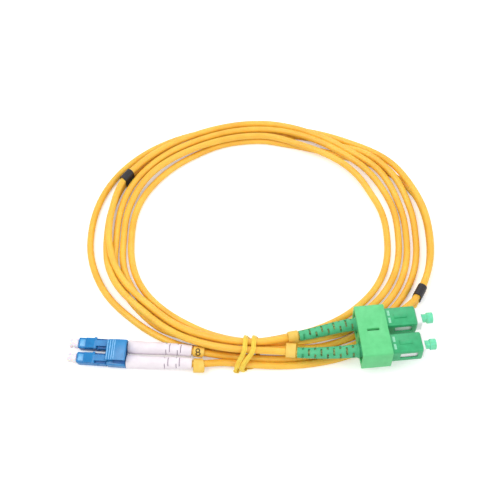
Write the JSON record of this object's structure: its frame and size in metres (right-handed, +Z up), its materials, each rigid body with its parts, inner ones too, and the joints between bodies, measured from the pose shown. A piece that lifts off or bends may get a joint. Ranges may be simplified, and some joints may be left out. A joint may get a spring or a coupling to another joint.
{
  "type": "fiber optic patch cord",
  "caption": "Duplex fibre patch cord coiled and tied, with a latched small-form plug pair at one end and a push-pull plug pair at the other, all under dust caps.",
  "frame": {"origin": "on the table, under the middle of the box round the plugs, boots, clips and caps of both ends", "axes": "+X from the small-form plugs towards the push-pull plugs, +Y from the plugs into the coil, +Z up from the table"},
  "size_m": [0.1585, 0.1302, 0.0178],
  "materials": {
    "cable_jacket": "satin",
    "heat_shrink": "matte",
    "tie_coating": "satin",
    "blue_plastic": "satin",
    "light_green_plastic": "satin",
    "zirconia": "polished",
    "nickel_steel": "satin",
    "spring_steel": "drawn",
    "fibre_glass": "polished",
    "crimp_brass": "satin",
    "white_cap_plastic": "satin",
    "white_boot": "matte",
    "marker_plastic": "satin",
    "green_plastic": "satin",
    "white_plastic": "satin",
    "green_cap_plastic": "satin",
    "green_boot": "matte"
  },
  "bodies": {
    "cord": {"coil_strand_1": "cable_jacket", "coil_strand_2": "cable_jacket", "shrink_sleeve_1": "heat_shrink", "shrink_sleeve_2": "heat_shrink", "twist_tie": "tie_coating", "lc_clip": "blue_plastic", "lc_housing_1": "blue_plastic", "lc_body_1": "blue_plastic", "lc_spring_1": "spring_steel", "lc_crimp_1": "crimp_brass", "lc_boot_1": "white_boot", "lc_marker_1": "marker_plastic", "lc_leg_1": "cable_jacket", "sc_frame_1": "white_plastic", "sc_backbone_1": "white_plastic", "sc_spring_1": "spring_steel", "sc_crimp_1": "crimp_brass", "sc_boot_1": "green_boot", "sc_marker_1": "marker_plastic", "sc_leg_1": "cable_jacket", "lc_housing_2": "blue_plastic", "lc_body_2": "blue_plastic", "lc_spring_2": "spring_steel", "lc_crimp_2": "crimp_brass", "lc_boot_2": "white_boot", "lc_marker_2": "marker_plastic", "lc_leg_2": "cable_jacket", "sc_frame_2": "white_plastic", "sc_backbone_2": "white_plastic", "sc_spring_2": "spring_steel", "sc_crimp_2": "crimp_brass", "sc_boot_2": "green_boot", "sc_marker_2": "marker_plastic", "sc_leg_2": "cable_jacket"},
    "lc_trigger": {"lc_trigger": "blue_plastic"},
    "sc_grips": {"sc_clip": "light_green_plastic", "sc_grip_1": "green_plastic", "sc_grip_2": "green_plastic"},
    "lc_latch_1": {"lc_latch_1": "blue_plastic"},
    "lc_ferrule_1": {"lc_ferrule_1": "zirconia", "lc_flange_1": "nickel_steel", "lc_fibre_1": "fibre_glass"},
    "sc_ferrule_1": {"sc_ferrule_1": "zirconia", "sc_flange_1": "nickel_steel", "sc_fibre_1": "fibre_glass"},
    "lc_cap_1": {"lc_cap_1": "white_cap_plastic"},
    "sc_cap_1": {"sc_cap_1": "green_cap_plastic"},
    "lc_latch_2": {"lc_latch_2": "blue_plastic"},
    "lc_ferrule_2": {"lc_ferrule_2": "zirconia", "lc_flange_2": "nickel_steel", "lc_fibre_2": "fibre_glass"},
    "sc_ferrule_2": {"sc_ferrule_2": "zirconia", "sc_flange_2": "nickel_steel", "sc_fibre_2": "fibre_glass"},
    "lc_cap_2": {"lc_cap_2": "white_cap_plastic"},
    "sc_cap_2": {"sc_cap_2": "green_cap_plastic"}
  },
  "joints": [
    {"name": "lc_trigger_press", "type": "hinge", "parent": "cord", "child": "lc_trigger", "pos_m": [-0.05192, -0.0054, 0.00708], "axis": [-0.0793, -0.9845, -0.1563], "range_deg": [0, 6], "stiffness_Nm_per_rad": 0.02},
    {"name": "lc_latch_1_flex", "type": "hinge", "parent": "cord", "child": "lc_latch_1", "pos_m": [-0.06805, -0.00077, 0.00611], "axis": [0.0793, 0.9845, 0.1563], "range_deg": [0, 4.8], "stiffness_Nm_per_rad": 0.01},
    {"name": "lc_latch_2_flex", "type": "hinge", "parent": "cord", "child": "lc_latch_2", "pos_m": [-0.06855, -0.00693, 0.00513], "axis": [0.0793, 0.9845, 0.1563], "range_deg": [0, 4.8], "stiffness_Nm_per_rad": 0.01},
    {"name": "lc_ferrule_1_float", "type": "slide", "parent": "cord", "child": "lc_ferrule_1", "axis": [0.9952, -0.0871, 0.0436], "range_m": [0, 0.001], "stiffness_N_per_m": 1000, "deforming": ["lc_spring_1"]},
    {"name": "lc_ferrule_2_float", "type": "slide", "parent": "cord", "child": "lc_ferrule_2", "axis": [0.9952, -0.0871, 0.0436], "range_m": [0, 0.001], "stiffness_N_per_m": 1000, "deforming": ["lc_spring_2"]},
    {"name": "sc_ferrule_1_float", "type": "slide", "parent": "cord", "child": "sc_ferrule_1", "axis": [-0.9954, -0.0958, 0], "range_m": [0, 0.001], "stiffness_N_per_m": 2000, "deforming": ["sc_spring_1"]},
    {"name": "sc_ferrule_2_float", "type": "slide", "parent": "cord", "child": "sc_ferrule_2", "axis": [-0.9954, -0.0958, 0], "range_m": [0, 0.001], "stiffness_N_per_m": 2000, "deforming": ["sc_spring_2"]},
    {"name": "lc_cap_1_pull", "type": "slide", "parent": "cord", "child": "lc_cap_1", "axis": [-0.9952, 0.0871, -0.0436], "range_m": [0, 0.008]},
    {"name": "lc_cap_2_pull", "type": "slide", "parent": "cord", "child": "lc_cap_2", "axis": [-0.9952, 0.0871, -0.0436], "range_m": [0, 0.008]},
    {"name": "sc_cap_1_pull", "type": "slide", "parent": "cord", "child": "sc_cap_1", "axis": [0.9954, 0.0958, 0], "range_m": [0, 0.012]},
    {"name": "sc_cap_2_pull", "type": "slide", "parent": "cord", "child": "sc_cap_2", "axis": [0.9954, 0.0958, 0], "range_m": [0, 0.012]},
    {"name": "sc_grips_slide", "type": "slide", "parent": "cord", "child": "sc_grips", "axis": [-0.9954, -0.0958, 0], "range_m": [-0.0003, 0.0009]}
  ],
  "couplings": [
    {"joint": "lc_latch_1_flex", "follows": "lc_trigger_press", "ratio": 0.8},
    {"joint": "lc_latch_2_flex", "follows": "lc_trigger_press", "ratio": 0.8}
  ]
}
